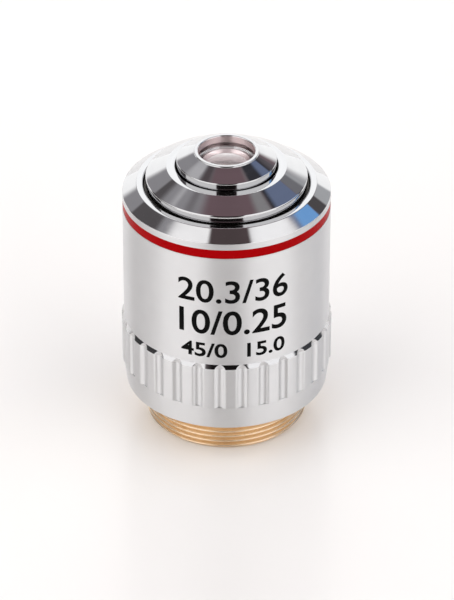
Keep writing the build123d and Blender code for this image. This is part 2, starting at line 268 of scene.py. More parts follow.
def build_sky():
    world = bpy.data.worlds.new("studio sky")
    world.use_nodes = True
    tree = world.node_tree
    tree.nodes.clear()
    x, y, z = split(tree, add(tree, "ShaderNodeTexCoord").outputs["Generated"])
    from_zenith = maths(tree, "DEGREES", maths(tree, "ARCCOSINE", z))
    flat = maths(tree, "MAXIMUM", axis_distance(tree, x, y), straight_up)
    right = maths(tree, "MULTIPLY", maths(tree, "DIVIDE", x, flat), from_zenith)
    behind = maths(tree, "MULTIPLY", maths(tree, "DIVIDE", y, flat), from_zenith)
    front = maths(tree, "MULTIPLY", behind, -1.0)
    low = ramp(tree, from_zenith, horizon_from, horizon_to, smooth=True)
    light = tint(tree, low, zenith_light, horizon_light)
    for name, (*sizes, colour) in sky_boxes.items():
        box = add(tree, "ShaderNodeGroup", {"node_tree": sky_box, "label": name},
                  Right=right, Front=front, Below=light, Light=(*colour, 1),
                  **dict(zip(box_sizes, map(float, sizes))))
        light = box.outputs["Light"]
    looked_at = add(tree, "ShaderNodeLightPath").outputs["Is Camera Ray"]
    seen = tint(tree, looked_at, light, background_white)
    background = add(tree, "ShaderNodeBackground", Color=seen, Strength=1.0)
    plug(tree, add(tree, "ShaderNodeOutputWorld").inputs["Surface"], background.outputs[0])
    bpy.context.scene.world = world


build_sky()
print(len(sky_boxes), "boxes in the sky")

# %% [markdown]
# ## Floor and fill light
# The floor is glossy white acrylic. Its gloss mirrors the soft boxes, and the satin barrel
# in turn mirrors the floor, in soft pale bands. A trace of its white shines by itself for
# the rays that look at it, so the page comes out a little whiter and the contact shadow
# still shows. The fill is one broad lamp that metal doesn't mirror.

# %% Floor
floor_radius = 8.0
floor_sides = 96
floor_white = (0.92, 0.905, 0.885)
floor_roughness = 0.22
floor_glow = 0.02


def build_floor():
    mesh = bpy.data.meshes.new("floor")
    form = bmesh.new()
    bmesh.ops.create_circle(form, cap_ends=True, segments=floor_sides, radius=floor_radius)
    form.to_mesh(mesh)
    form.free()
    material, tree, shader = finish("white acrylic", Base_Color=(*floor_white, 1),
                                    Roughness=floor_roughness, Emission_Color=(1, 1, 1, 1))
    rays = add(tree, "ShaderNodeLightPath").outputs
    looked_at = maths(tree, "MAXIMUM", rays["Is Camera Ray"],
                      maths(tree, "MAXIMUM", rays["Is Glossy Ray"], rays["Is Transmission Ray"]))
    plug(tree, shader["Emission Strength"], maths(tree, "MULTIPLY", looked_at, floor_glow))
    mesh.materials.append(material)
    floor = place_object("floor", mesh)


build_floor()

# %% Fill lamp
fill_strength = 1.1
fill_spread = math.radians(110)
fill_colour = (1.0, 0.985, 0.97)
fill_lean = (math.radians(18), math.radians(-8), 0)


def build_fill():
    lamp = bpy.data.lights.new("fill", "SUN")
    lamp.energy = fill_strength
    lamp.angle = fill_spread
    lamp.color = fill_colour
    held = place_object("fill", lamp)
    held.rotation_euler = fill_lean
    held.visible_glossy = False


build_fill()

# %% [markdown]
# ## Surface effects
# Three effects are shared by the finishes, so each is a node group: the fine rings that a
# lathe tool leaves, the grain of a blasted or cast surface, and the faint smears that
# handling leaves on a bright one. All read Object coordinates, so they stay put on the
# piece. They put out heights and masks only, and the shaders stay in the materials.

# %% Lathe rings
radius_share = 0.83
fine_noise = 0.9
broad_noise = 0.11


def on_piece(tree):
    """Object coordinates, which stay put on the piece."""
    return add(tree, "ShaderNodeTexCoord").outputs["Object"]


def noise(tree, dimensions, **inputs):
    """A noise over one or three dimensions."""
    return add(tree, "ShaderNodeTexNoise", {"noise_dimensions": dimensions}, **inputs).outputs[0]


def build_lathe_rings():
    tree, given, result = new_group(
        "ShaderNodeTree", "lathe rings",
        {"Pitch": ("Float", 0.05 * mm), "Uneven": ("Float", 0.5)},
        {"Height": "Float", "Mask": "Float"},
    )
    x, y, z = split(tree, on_piece(tree))
    # A share of the radius joins the height, so that flat faces carry rings too
    across = maths(tree, "MULTIPLY", axis_distance(tree, x, y), radius_share)
    along = maths(tree, "DIVIDE", maths(tree, "ADD", across, z), given["Pitch"])
    wave = maths(tree, "SINE", maths(tree, "MULTIPLY", along, math.tau))
    ripple = maths(tree, "MULTIPLY_ADD", wave, 0.5, 0.5)
    fine = noise(tree, "1D", W=along, Scale=fine_noise, Detail=2.0)
    broad = noise(tree, "1D", W=along, Scale=broad_noise, Detail=3.0)
    plug(tree, result["Height"], mix(tree, given["Uneven"], ripple, fine))
    plug(tree, result["Mask"], broad)
    return tree


lathe_rings = build_lathe_rings()

# %% Blasted grain
cloud_share = 0.035


def build_grain():
    tree, given, result = new_group(
        "ShaderNodeTree", "blasted grain",
        {"Size": ("Float", 0.08 * mm)},
        {"Height": "Float", "Mask": "Float"},
    )
    place = on_piece(tree)
    scale = maths(tree, "DIVIDE", 1.0, given["Size"])
    cloud_scale = maths(tree, "MULTIPLY", scale, cloud_share)
    pits = noise(tree, "3D", Vector=place, Scale=scale, Detail=3.0, Roughness=0.6)
    plug(tree, result["Height"], pits)
    plug(tree, result["Mask"], noise(tree, "3D", Vector=place, Scale=cloud_scale, Detail=2.0))
    return tree


blasted_grain = build_grain()

# %% Handling smears
smear_squash = 2.4
smear_from = 0.48
smear_to = 0.72


def build_smears():
    tree, given, result = new_group(
        "ShaderNodeTree", "handling smears",
        {"Size": ("Float", 4 * mm), "Amount": ("Float", 0.5)},
        {"Mask": "Float"},
    )
    squashed = add(tree, "ShaderNodeMapping", i0=on_piece(tree),
                   Scale=(1.0, 1.0, smear_squash)).outputs[0]
    scale = maths(tree, "DIVIDE", 1.0, given["Size"])
    patch = noise(tree, "3D", Vector=squashed, Scale=scale, Detail=4.0, Distortion=0.8)
    clear = ramp(tree, patch, smear_from, smear_to, smooth=True)
    plug(tree, result["Mask"], maths(tree, "MULTIPLY", clear, given["Amount"]))
    return tree


handling_smears = build_smears()
print("effects:", lathe_rings.name, "/", blasted_grain.name, "/", handling_smears.name)

# %% [markdown]
# ## Finishes
# The helpers below place an effect group in a finish, turn a mask into a roughness between
# two limits, and feed a height to the Bump node.

# %% Finish helpers
def effect(tree, group, **inputs):
    """Places an effect group and returns what it puts out."""
    return add(tree, "ShaderNodeGroup", {"node_tree": group}, **inputs).outputs


def between(tree, mask, low, high):
    """A value that goes from low to high as the mask goes from 0 to 1."""
    return ramp(tree, mask, 0.0, 1.0, low, high)


def bump(tree, height, depth, strength=1.0, below=None):
    made = add(tree, "ShaderNodeBump", Height=height, Distance=depth, Strength=strength)
    if below is not None:
        plug(tree, made.inputs["Normal"], below)
    return made.outputs[0]


# %% [markdown]
# ### Satin and polished chrome
# The barrel and the grip ring are brass under satin chrome: turned, blasted with fine
# beads, then plated, which spreads a reflection into broad soft bands. The turning is
# still there under the grain, so a highlight runs further up and down the piece than round
# it, and the shader's Anisotropic value gives that. Their bevels are cut after the blasting
# and stay bright. So one finish serves both, with a mask by height that takes the grain
# away above the bevel's edge.

# %% Satin chrome
sleeve_radius, sleeve_low, sleeve_rim = reach("outer_sleeve")
ring_radius, ring_low, ring_top = reach("grip_ring")
sleeve_bevel_height = 1.18 * mm
sleeve_edge = sleeve_rim - sleeve_bevel_height
ring_chamfer_height = 0.52 * mm
chrome_light = (0.62, 0.62, 0.625)
chrome_grey = (0.57, 0.572, 0.58)
cut_roughness = (0.05, 0.09)
satin_light = (0.80, 0.80, 0.805)
satin_grey = (0.75, 0.752, 0.76)
satin_roughness = (0.40, 0.46)
satin_stretch = 0.85
stretch_turn = 0.25
smear_roughness = 0.05
edge_blend = 0.02 * mm
pit_depth = 0.0035 * mm
cut_depth = 0.0002 * mm


def satin_chrome(name, bright_from):
    material, tree, shader = finish(name, Metallic=1.0, Anisotropic=satin_stretch,
                                    Anisotropic_Rotation=stretch_turn)
    grain = effect(tree, blasted_grain, Size=0.07 * mm)
    smears = effect(tree, handling_smears, Size=5 * mm, Amount=0.6)
    rings = effect(tree, lathe_rings, Pitch=0.06 * mm, Uneven=0.7)
    height = split(tree, on_piece(tree))[2]
    bright = ramp(tree, height, bright_from - edge_blend, bright_from + edge_blend)
    satin = maths(tree, "ADD", between(tree, grain["Mask"], *satin_roughness),
                  maths(tree, "MULTIPLY", smears["Mask"], smear_roughness))
    cut = between(tree, smears["Mask"], *cut_roughness)
    plug(tree, shader["Roughness"], mix(tree, bright, satin, cut))
    plated_colour = tint(tree, grain["Mask"], satin_grey, satin_light)
    cut_colour = tint(tree, grain["Mask"], chrome_grey, chrome_light)
    plug(tree, shader["Base Color"], tint(tree, bright, plated_colour, cut_colour))
    pits = maths(tree, "MULTIPLY", grain["Height"], maths(tree, "SUBTRACT", 1.0, bright))
    pitted = bump(tree, pits, pit_depth)
    turned = bump(tree, maths(tree, "MULTIPLY", rings["Height"], bright), cut_depth, below=pitted)
    plug(tree, shader["Normal"], turned)
    return material


sleeve_chrome = satin_chrome("sleeve satin chrome", sleeve_edge)
ring_chrome = satin_chrome("ring satin chrome", ring_top - ring_chamfer_height)

# %% [markdown]
# The cap and the nose are polished all over, apart from the wall of the nose's bore. That
# is left fine-turned, so a mask by radius makes the finish rougher there. The same mask
# paints a rose reflection of the front glass into the wall's colour.

# %% Polished chrome
bore_wall = 3.54 * mm
# A painted reflection: the rose light of the front glass, painted into the bore wall's colour
bore_painted_rose_reflection = (1.0, 0.87, 0.87)
wall_roughness = 0.35
polish_roughness = (0.045, 0.10)


def polished_chrome():
    material, tree, shader = finish("polished chrome", Metallic=1.0)
    smears = effect(tree, handling_smears, Size=3 * mm, Amount=0.8)
    rings = effect(tree, lathe_rings, Pitch=0.05 * mm, Uneven=0.6)
    x, y, _ = split(tree, on_piece(tree))
    wall = maths(tree, "LESS_THAN", axis_distance(tree, x, y), bore_wall)
    outside = tint(tree, rings["Mask"], chrome_grey, chrome_light)
    # Inside the bore the colour turns to the painted rose reflection of the front glass
    plug(tree, shader["Base Color"], tint(tree, wall, outside, bore_painted_rose_reflection))
    polished = between(tree, smears["Mask"], *polish_roughness)
    rougher = maths(tree, "MULTIPLY", wall, wall_roughness)
    plug(tree, shader["Roughness"], maths(tree, "ADD", polished, rougher))
    plug(tree, shader["Normal"], bump(tree, rings["Height"], cut_depth))
    return material


nose_chrome = polished_chrome()

# %% [markdown]
# ### Brass, enamel and the hidden finishes
# The thread is bare turned brass, warm in colour. Its roots are painted darker and browner
# than its crests, as painted shade in the grooves, and handling smears darken it too. The
# colour ring is red enamel wiped into a groove and baked, with the faint ripple of a liquid
# that set. Inside, metal is blackened against stray light.

# %% Brass
# The crest colour is the brass itself. The root colour is painted shade for the thread's grooves
brass_crest = (0.96, 0.78, 0.58)
brass_root_painted_shade = (0.82, 0.61, 0.40)
brass_roughness = (0.2, 0.34)
brass_ring_depth = 0.0012 * mm
thread_radius = 10.16 * mm
thread_depth = 0.43 * mm


def turned_brass():
    material, tree, shader = finish("turned brass", Metallic=1.0)
    x, y, _ = split(tree, on_piece(tree))
    # Painted shade: a mask by radius that turns the colour darker down in the thread's roots
    crest = ramp(tree, axis_distance(tree, x, y), thread_radius - thread_depth, thread_radius)
    rings = effect(tree, lathe_rings, Pitch=0.045 * mm, Uneven=0.6)
    smears = effect(tree, handling_smears, Size=2.5 * mm, Amount=0.8)
    # Handling smears, which are real dirt, also pull the crests towards the painted root shade
    unshaded_and_unsmeared = maths(tree, "MULTIPLY", maths(tree, "SUBTRACT", 1.0, smears["Mask"]), crest)
    plug(tree, shader["Base Color"], tint(tree, unshaded_and_unsmeared, brass_root_painted_shade, brass_crest))
    plug(tree, shader["Roughness"], between(tree, rings["Mask"], *brass_roughness))
    plug(tree, shader["Normal"], bump(tree, rings["Height"], brass_ring_depth))
    return material


brass = turned_brass()

# %% Red enamel
enamel_deep = (0.36, 0.0, 0.001)
enamel_clear = (0.41, 0.0, 0.002)
enamel_roughness = (0.22, 0.36)
enamel_gloss = 0.03
enamel_ripple = 0.01 * mm


def red_enamel():
    material, tree, shader = finish("red enamel", IOR=1.5, Specular_IOR_Level=enamel_gloss)
    grain = effect(tree, blasted_grain, Size=0.5 * mm)
    smears = effect(tree, handling_smears, Size=2 * mm, Amount=0.7)
    plug(tree, shader["Base Color"], tint(tree, grain["Mask"], enamel_deep, enamel_clear))
    plug(tree, shader["Roughness"], between(tree, smears["Mask"], *enamel_roughness))
    plug(tree, shader["Normal"], bump(tree, grain["Height"], enamel_ripple, 0.4))
    return material


enamel = red_enamel()

# %% Blackened metal
def blackened(name, metallic, dark, worn, low, high, gloss=0.5):
    """A metal or a black from two colours and the least and greatest roughness."""
    material, tree, shader = finish(name, Metallic=metallic, Specular_IOR_Level=gloss)
    grain = effect(tree, blasted_grain, Size=0.12 * mm)
    rings = effect(tree, lathe_rings, Pitch=0.12 * mm, Uneven=0.4)
    plug(tree, shader["Base Color"], tint(tree, grain["Mask"], dark, worn))
    plug(tree, shader["Roughness"], between(tree, grain["Height"], low, high))
    turned = bump(tree, rings["Height"], 0.006 * mm, 0.6)
    plug(tree, shader["Normal"], bump(tree, grain["Height"], 0.005 * mm, 0.6, turned))
    return material


matt_black = blackened("matt black", 0.0, (0.010, 0.010, 0.011), (0.028, 0.027, 0.027), 0.55, 0.75)
blackened_brass = blackened("blackened brass", 0.6,
                            (0.020, 0.018, 0.016), (0.05, 0.043, 0.035), 0.35, 0.5)
screw_steel = blackened("screw steel", 1.0, (0.30, 0.30, 0.31), (0.42, 0.42, 0.43), 0.25, 0.4)
marking_black = blackened("marking black", 0.0,
                          (0.001, 0.001, 0.001), (0.004, 0.004, 0.004), 0.5, 0.6, gloss=0.05)

# %% [markdown]
# ### Glass
# The outer glasses carry an anti-reflection coating, which leaves a coloured reflection.
# Here the front glass mirrors with a rose tint of its own, and the glass behind it has a
# strong clear coat, so that it shows through the first. Each keeps a plain Metallic and
# Transmission Weight, and only its colour and roughness vary, where dust has settled.

# %% Coated and plain glass
dusty = (0.93, 0.93, 0.94)


def lens_glass(name, tinted, bend, level, mirrored_tint, coat):
    material, tree, shader = finish(
        name, Metallic=0.0, Transmission_Weight=1.0, IOR=bend,
        Specular_IOR_Level=level, Specular_Tint=(*mirrored_tint, 1),
        Coat_Weight=coat, Coat_IOR=2.4, Coat_Roughness=0.03,
    )
    smears = effect(tree, handling_smears, Size=1.5 * mm, Amount=0.5)
    plug(tree, shader["Base Color"], tint(tree, smears["Mask"], tinted, dusty))
    plug(tree, shader["Roughness"], between(tree, smears["Mask"], 0.0, 0.03))
    return material


coated_glass = lens_glass("coated glass", (0.98, 0.93, 0.93), 1.8, 0.9, (1.0, 0.58, 0.60), 0.0)
inner_glass = lens_glass("inner coated glass", (0.95, 0.98, 0.96), 1.52, 0.5, (0.9, 1.0, 0.95), 1.0)
optical_glass = lens_glass("optical glass", (0.97, 0.98, 0.98), 1.52, 0.5, (1, 1, 1), 0.0)
print(len(bpy.data.materials), "materials so far")

# %% [markdown]
# ## Turning pieces on the lathe
# Nearly every piece is a section turned about the optical axis, so one Geometry Nodes tree
# serves them all. It takes the section, a loop of edges drawn in the XZ plane, sweeps it
# round a circle, welds the pole, marks the creases that are sharper than an angle and sets
# the finish. A Screw modifier could do it too, but the tree can mark its own creases.

# %% The lathe tree
path_radius = 20 * mm
weld = 0.0004 * mm


def turn(tree, given):
    """Nodes that sweep the section round the axis."""
    # The section is laid flat first, with its radius counted from the circle it will follow
    x, _, z = split(tree, add(tree, "GeometryNodeInputPosition").outputs[0])
    flat = add(tree, "ShaderNodeCombineXYZ", X=maths(tree, "SUBTRACT", x, path_radius),
               Y=maths(tree, "MULTIPLY", z, -1.0))
    laid = add(tree, "GeometryNodeSetPosition", Geometry=given["Section"], Position=flat.outputs[0])
    profile = add(tree, "GeometryNodeMeshToCurve", Mesh=laid.outputs[0])
    circle = add(tree, "GeometryNodeCurvePrimitiveCircle", {"mode": "RADIUS"},
                 Resolution=given["Steps"], Radius=path_radius)
    swept = add(tree, "GeometryNodeCurveToMesh", Curve=circle.outputs[0],
                Profile_Curve=profile.outputs[0])
    return swept.outputs[0]


lathe_inputs = {
    "Section": ("Geometry", None),
    "Steps": ("Int", 256),
    "Crease": ("Float", math.radians(25)),
    "Finish": ("Material", None),
}


def piece_tree(name, inputs, form):
    """A tree that forms a piece by one function's nodes, then welds, creases and finishes it."""
    tree, given, result = new_group("GeometryNodeTree", name, inputs, {"Piece": "Geometry"})
    welded = add(tree, "GeometryNodeMergeByDistance", Geometry=form(tree, given), Distance=weld)
    smooth = add(tree, "GeometryNodeSetShadeSmooth", {"domain": "FACE"},
                 Geometry=welded.outputs[0], Shade_Smooth=True)
    angle = add(tree, "GeometryNodeInputMeshEdgeAngle").outputs["Unsigned Angle"]
    sharp = add(tree, "FunctionNodeCompare", {"operation": "GREATER_THAN"}, i0=angle, i1=given["Crease"])
    creased = add(tree, "GeometryNodeSetShadeSmooth", {"domain": "EDGE"},
                  Geometry=smooth.outputs[0], Selection=sharp.outputs[0], Shade_Smooth=False)
    real = add(tree, "GeometryNodeRealizeInstances", Geometry=creased.outputs[0])
    finished = add(tree, "GeometryNodeSetMaterial", Geometry=real.outputs[0], Material=given["Finish"])
    plug(tree, result["Piece"], finished.outputs[0])
    return tree


lathe = piece_tree("lathe", lathe_inputs, turn)
print("the lathe has", len(lathe.nodes), "nodes")


# %% [markdown]
# A section is a short list of corners, each a radius, a height and, where the real edge is
# rounded, the radius of its round. The helper replaces such a corner by an arc, with one
# more point just outside each end of it, so that the smooth shading of the arc doesn't
# bleed over the flat face beside it and bend what it mirrors.

# %% Draw a section
arc_steps = 6
guard = 0.03 * mm


def rounded(corner, before, after, radius):
    """Points that replace a corner by an arc, with a guard point at each end."""
    corner = Vector(corner)
    to_before = (Vector(before) - corner).normalized()
    to_after = (Vector(after) - corner).normalized()
    half = to_before.angle(to_after) / 2
    reach_out = radius / math.tan(half)
    centre = corner + (to_before + to_after).normalized() * radius / math.sin(half)
    start = (corner + to_before * reach_out - centre).normalized()
    end = (corner + to_after * reach_out - centre).normalized()
    points = [corner + to_before * (reach_out + guard)]
    for step in range(arc_steps + 1):
        points.append(centre + start.slerp(end, step / arc_steps) * radius)
    points.append(corner + to_after * (reach_out + guard))
    return points


def draw_section(corners, closed=True):
    """A loop of edges in XZ from corners given as radius, height and an optional round."""
    points = []
    for index, (radius, height, *curve) in enumerate(corners):
        if curve:
            before = corners[index - 1][:2]
            after = corners[(index + 1) % len(corners)][:2]
            points += rounded((radius, height), before, after, curve[0])
        else:
            points.append(Vector((radius, height)))
    edges = [(i, i + 1) for i in range(len(points) - 1)]
    if closed:
        edges.append((len(points) - 1, 0))
    mesh = bpy.data.meshes.new("section")
    mesh.from_pydata([(p.x, 0, p.y) for p in points], edges, [])
    return mesh


# %% [markdown]
# The modifier's inputs are set by their identifiers before anything is evaluated. The
# result becomes a plain mesh of its own, its faces are turned outwards, and the holder of
# the modifier is thrown away. Then the piece rides on the body and stands for its CAD node.

# %% Make a piece
def plain_mesh(holder):
    """The mesh that an object comes to. The object itself is thrown away."""
    bpy.context.view_layer.update()
    graph = bpy.context.evaluated_depsgraph_get()
    mesh = bpy.data.meshes.new_from_object(holder.evaluated_get(graph))
    bpy.data.objects.remove(holder)
    return mesh


def shape(tree, section, **values):
    """Runs a Geometry Nodes tree on a section and returns a plain mesh."""
    holder = place_object("blank", section)
    modifier = holder.modifiers.new("nodes", "NODES")
    modifier.node_group = tree
    for item in tree.interface.items_tree:
        if item.in_out == "INPUT" and item.name in values:
            modifier[item.identifier] = values[item.name]
    mesh = plain_mesh(holder)
    form = bmesh.new()
    form.from_mesh(mesh)
    bmesh.ops.recalc_face_normals(form, faces=form.faces)
    form.to_mesh(mesh)
    form.free()
    return mesh


def measure(name, mesh, *nodes):
    """Prints a mesh's faces, its open edges and how far its box is from each CAD node's."""
    uses = Counter(edge for face in mesh.polygons for edge in face.edge_keys)
    open_edges = sum(1 for times in uses.values() if times != 2)
    print(f"{name}: {len(mesh.polygons)} faces, {open_edges} open edges")
    seen = [pick(v.co[i] for v in mesh.vertices) for pick in (min, max) for i in range(3)]
    for node in nodes:
        low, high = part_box(node)
        off = max(abs(a - b) for a, b in zip((*low, *high), seen))
        print(f"    {off / mm:.4f} mm off the box of {node}")


def stand_in(name, mesh, slot, *nodes):
    """Links a finished mesh as a piece that stands for CAD nodes."""
    piece = place_object(name, mesh)
    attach(piece, "root")
    if nodes:
        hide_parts(*nodes)
    measure(name, mesh, *nodes)


def turned_piece(name, slot, node, corners, material):
    stand_in(name, shape(lathe, draw_section(corners), Finish=material), slot, node)


# %% [markdown]
# ## Outer sleeve and colour ring
# The sleeve is a thin cup turned from tube: a straight satin wall, a groove for the enamel,
# and a bright bevel that closes over the barrel cap. Its inside is left as turned. The
# enamel fills the groove to a hair below the wall.

# %% Sleeve and enamel
tube_radius = reach("body_tube")[0]
cap_radius, cap_seat, cap_rim = reach("barrel_cap")
tube_fit = 0.05 * mm
sleeve_bore = tube_radius + tube_fit
cap_gap = 0.31 * mm
lip_radius = cap_radius + cap_gap
sleeve_rim_width = 0.84 * mm
sleeve_lip_height = 1.85 * mm
sleeve_round = 0.2 * mm
enamel_radius, enamel_low, enamel_high = reach("colour_band")
groove_depth = 0.3 * mm
enamel_fit = 0.01 * mm
enamel_round = 0.04 * mm

turned_piece(
    "outer_sleeve_turned", "satin_chrome", "outer_sleeve",
    [
        (sleeve_bore, sleeve_low),
        (sleeve_radius, sleeve_low),
        (sleeve_radius, enamel_low),
        (sleeve_radius - groove_depth, enamel_low),
        (sleeve_radius - groove_depth, enamel_high),
        (sleeve_radius, enamel_high),
        (sleeve_radius, sleeve_edge, sleeve_round / 2),
        (lip_radius + sleeve_rim_width, sleeve_rim, sleeve_round),
        (lip_radius, sleeve_rim, sleeve_round),
        (lip_radius, sleeve_rim - sleeve_lip_height),
        (sleeve_bore, sleeve_rim - sleeve_lip_height),
    ],
    sleeve_chrome,
)
turned_piece(
    "colour_ring_enamel", "red_enamel", "colour_band",
    [
        (sleeve_radius - groove_depth + enamel_fit, enamel_low),
        (enamel_radius, enamel_low, enamel_round),
        (enamel_radius, enamel_high, enamel_round),
        (sleeve_radius - groove_depth + enamel_fit, enamel_high),
    ],
    enamel,
)

# %% [markdown]
# ## Barrel cap and nose
# The middle tier and the nose are two bright cones, each a truncated cone on a short
# cylinder. The small rounds between them matter more than their size says: each is a
# curved mirror that gathers the whole studio into one bright line.

# %% Cap and nose
nose_radius, spigot_low, front = reach("front_cell")
nose_gap = 0.18 * mm
cap_bore = nose_radius + nose_gap
cap_rim_width = 1.08 * mm
cap_cone_height = 1.44 * mm
cap_round = 0.22 * mm
cap_edge_round = 0.06 * mm
cap_thread_radius = 8.46 * mm
fit = 0.02 * mm
barrel_top = reach("lens_barrel")[2]
end_gap = 0.1 * mm

turned_piece(
    "barrel_cap_turned", "polished_chrome", "barrel_cap",
    [
        (cap_thread_radius + fit, cap_seat),
        (cap_radius, cap_seat),
        (cap_radius, cap_rim - cap_cone_height, cap_round),
        (cap_bore + cap_rim_width, cap_rim, cap_edge_round),
        (cap_bore, cap_rim, cap_round / 2),
        (cap_bore, barrel_top + end_gap),
        (cap_thread_radius + fit, barrel_top + end_gap),
    ],
    nose_chrome,
)

front_glass_radius = reach("front_lens")[0]
nose_bore = front_glass_radius - 0.87 * mm
nose_rim = nose_bore + 0.54 * mm
nose_rim_height = 0.15 * mm
nose_cone_height = 1.07 * mm
nose_lip_height = 0.93 * mm
nose_round = 0.14 * mm
spigot_radius = 5.6 * mm

turned_piece(
    "nose_turned", "polished_chrome", "front_cell",
    [
        (front_glass_radius + fit, spigot_low),
        (spigot_radius, spigot_low),
        (spigot_radius, barrel_top),
        (nose_radius, barrel_top),
        (nose_radius, front - nose_rim_height - nose_cone_height, nose_round),
        (nose_rim, front - nose_rim_height),
        (nose_rim, front, nose_round),
        (nose_bore, front, nose_round),
        (nose_bore, front - nose_lip_height),
        (front_glass_radius + fit, front - nose_lip_height),
    ],
    nose_chrome,
)

# %% [markdown]
# ## Grip ring
# The ring is turned like the rest, then a cutter takes thirty shallow flutes out of its
# land, through the chamfer at the top and down to the plain band. The tree turns the
# section, bunches the columns of the mesh so that some fall exactly on each flute's edges,
# and pulls every point of the land in to the cutter's circle where it lies outside it.

# %% Grip ring sizes
flute_count = 30
flute_cutter = 0.88 * mm
flute_depth = 0.3 * mm
flute_phase = math.radians(2.3)
columns_per_flute = 24
flute_share = 0.62
band_height = 3.3 * mm
band_radius = 13.1 * mm
shoulder_radius = 12.73 * mm
shoulder_round = 0.25 * mm
mount_radius, mount_low, mount_top = reach("threaded_mount")
flange_top = 6.2 * mm
web_top = 8.0 * mm
neck_radius = 10.3 * mm
land_low = ring_low + band_height
land_inset = 0.02 * mm
land_guard = 0.03 * mm
hair = 0.001 * mm
chamfer_low = ring_top - ring_chamfer_height
chamfer_rows = 8
print(f"each flute is {flute_cutter / mm} mm in radius and {flute_depth / mm} mm deep")

# %% Fluted ring tree
flute_inputs = {
    **lathe_inputs,
    "Count": ("Int", flute_count),
    "Phase": ("Float", flute_phase),
    "Cutter radius": ("Float", flute_cutter),
    "Cutter centre": ("Float", ring_radius - flute_depth + flute_cutter),
    "Land radius": ("Float", ring_radius),
    "Low": ("Float", land_low + hair / 2),
}


def square(tree, value):
    return maths(tree, "POWER", value, 2.0)


def flute(tree, given):
    """Nodes that turn the section and cut the flutes."""
    calc = partial(maths, tree)
    cutter, centre, land = (given[label] for label in ("Cutter radius", "Cutter centre", "Land radius"))
    x, y, z = split(tree, add(tree, "GeometryNodeInputPosition").outputs[0])
    radius = calc("SQRT", calc("ADD", square(tree, x), square(tree, y)))
    # The angle within one period, from -1/2 to 1/2, counts from the middle of a flute
    period = calc("DIVIDE", math.tau, given["Count"])
    turns = calc("DIVIDE", calc("ARCTAN2", y, x), period)
    whole = calc("ROUND", turns)
    part = calc("SUBTRACT", turns, whole)
    # Half a flute's width in periods, where the cutter's circle crosses the land
    squares = calc("ADD", square(tree, centre), square(tree, land))
    squares = calc("SUBTRACT", squares, square(tree, cutter))
    product = calc("MULTIPLY", calc("MULTIPLY", centre, land), 2.0)
    half_flute = calc("DIVIDE", calc("ARCCOSINE", calc("DIVIDE", squares, product)), period)
    # The columns inside a flute and those outside it are spread over their own share
    size = calc("ABSOLUTE", part)
    inside = ramp(tree, size, 0.0, flute_share / 2, 0.0, half_flute)
    outside = ramp(tree, size, flute_share / 2, 0.5, half_flute, 0.5)
    in_flute = calc("LESS_THAN", size, flute_share / 2)
    warped = calc("ADD", calc("MULTIPLY", inside, in_flute),
                  calc("MULTIPLY", outside, calc("SUBTRACT", 1.0, in_flute)))
    local = calc("MULTIPLY", calc("MULTIPLY", calc("SIGN", part), warped), period)
    # Distance from the axis to the cutter's circle at that angle. Past the circle's edge a
    # metre is added, so that nothing is cut there
    across = square(tree, calc("MULTIPLY", centre, calc("SINE", local)))
    room = calc("MAXIMUM", calc("SUBTRACT", square(tree, cutter), across), 0.0)
    circle = calc("SUBTRACT", calc("MULTIPLY", centre, calc("COSINE", local)), calc("SQRT", room))
    missed = calc("GREATER_THAN", calc("ABSOLUTE", local), calc("MULTIPLY", half_flute, period))
    cut = calc("MINIMUM", radius, calc("ADD", circle, missed))
    new_radius = mix(tree, calc("GREATER_THAN", z, given["Low"]), radius, cut)
    new_angle = calc("ADD", calc("MULTIPLY_ADD", whole, period, local), given["Phase"])
    moved = add(tree, "ShaderNodeCombineXYZ", X=calc("MULTIPLY", new_radius, calc("COSINE", new_angle)),
                Y=calc("MULTIPLY", new_radius, calc("SINE", new_angle)), Z=z)
    fluted = add(tree, "GeometryNodeSetPosition", Geometry=turn(tree, given), Position=moved.outputs[0])
    return fluted.outputs[0]


fluted_ring = piece_tree("fluted ring", flute_inputs, flute)


# %% Grip ring piece
def steps_between(start, end, count):
    """Corners along a straight stretch, both ends included."""
    return [
        (start[0] + (end[0] - start[0]) * i / count, start[1] + (end[1] - start[1]) * i / count)
        for i in range(count + 1)
    ]


ring_section = draw_section([
    (mount_radius + fit, ring_low),
    (shoulder_radius, ring_low, shoulder_round),
    (band_radius, land_low),
    (ring_radius - land_inset, land_low + hair),
    (ring_radius, land_low + land_guard),
    (ring_radius, chamfer_low - land_guard),
    *steps_between((ring_radius, chamfer_low), (sleeve_radius, ring_top), chamfer_rows),
    (tube_radius + end_gap, ring_top),
    (tube_radius + end_gap, web_top),
    (neck_radius + fit, web_top),
    (neck_radius + fit, flange_top),
    (mount_radius + fit, flange_top),
])
ring_mesh = shape(fluted_ring, ring_section, Steps=flute_count * columns_per_flute, Finish=ring_chrome)
stand_in("grip_ring_fluted", ring_mesh, "satin_chrome", "grip_ring")

# %% [markdown]
# ## Threaded mount
# A thread is one long groove, so its mesh follows the helix: the rows of a grid climb by
# one pitch in each turn, and the row that ends a turn meets the one that begins the next.
# Rows that climb past either end are held at that end and welded away. The rest of the
# mount is an ordinary turned section that meets the thread at both ends.

# %% Thread sizes
thread_pitch = 25.4 * mm / 36
thread_chamfer = 0.5 * mm
relief_width = 0.8 * mm
relief_radius = thread_radius - 0.6 * mm
flange_round = 0.05 * mm
rear_bore = 8.5 * mm
baffle_top = reach("rear_baffle")[2]
baffle_seat = 0.4 * mm
tail_bore = neck_radius - 1.35 * mm
thread_end = ring_low - relief_width
thread_columns = 240
rows_per_pitch = 16
turns_over = 1.2
thread_rows = int((thread_end / thread_pitch + 2 * turns_over) * rows_per_pitch)
crest_flat = 0.12
root_flat = 0.88
print(f"thread of {thread_end / thread_pitch:.1f} turns, drawn in {thread_rows} rows")

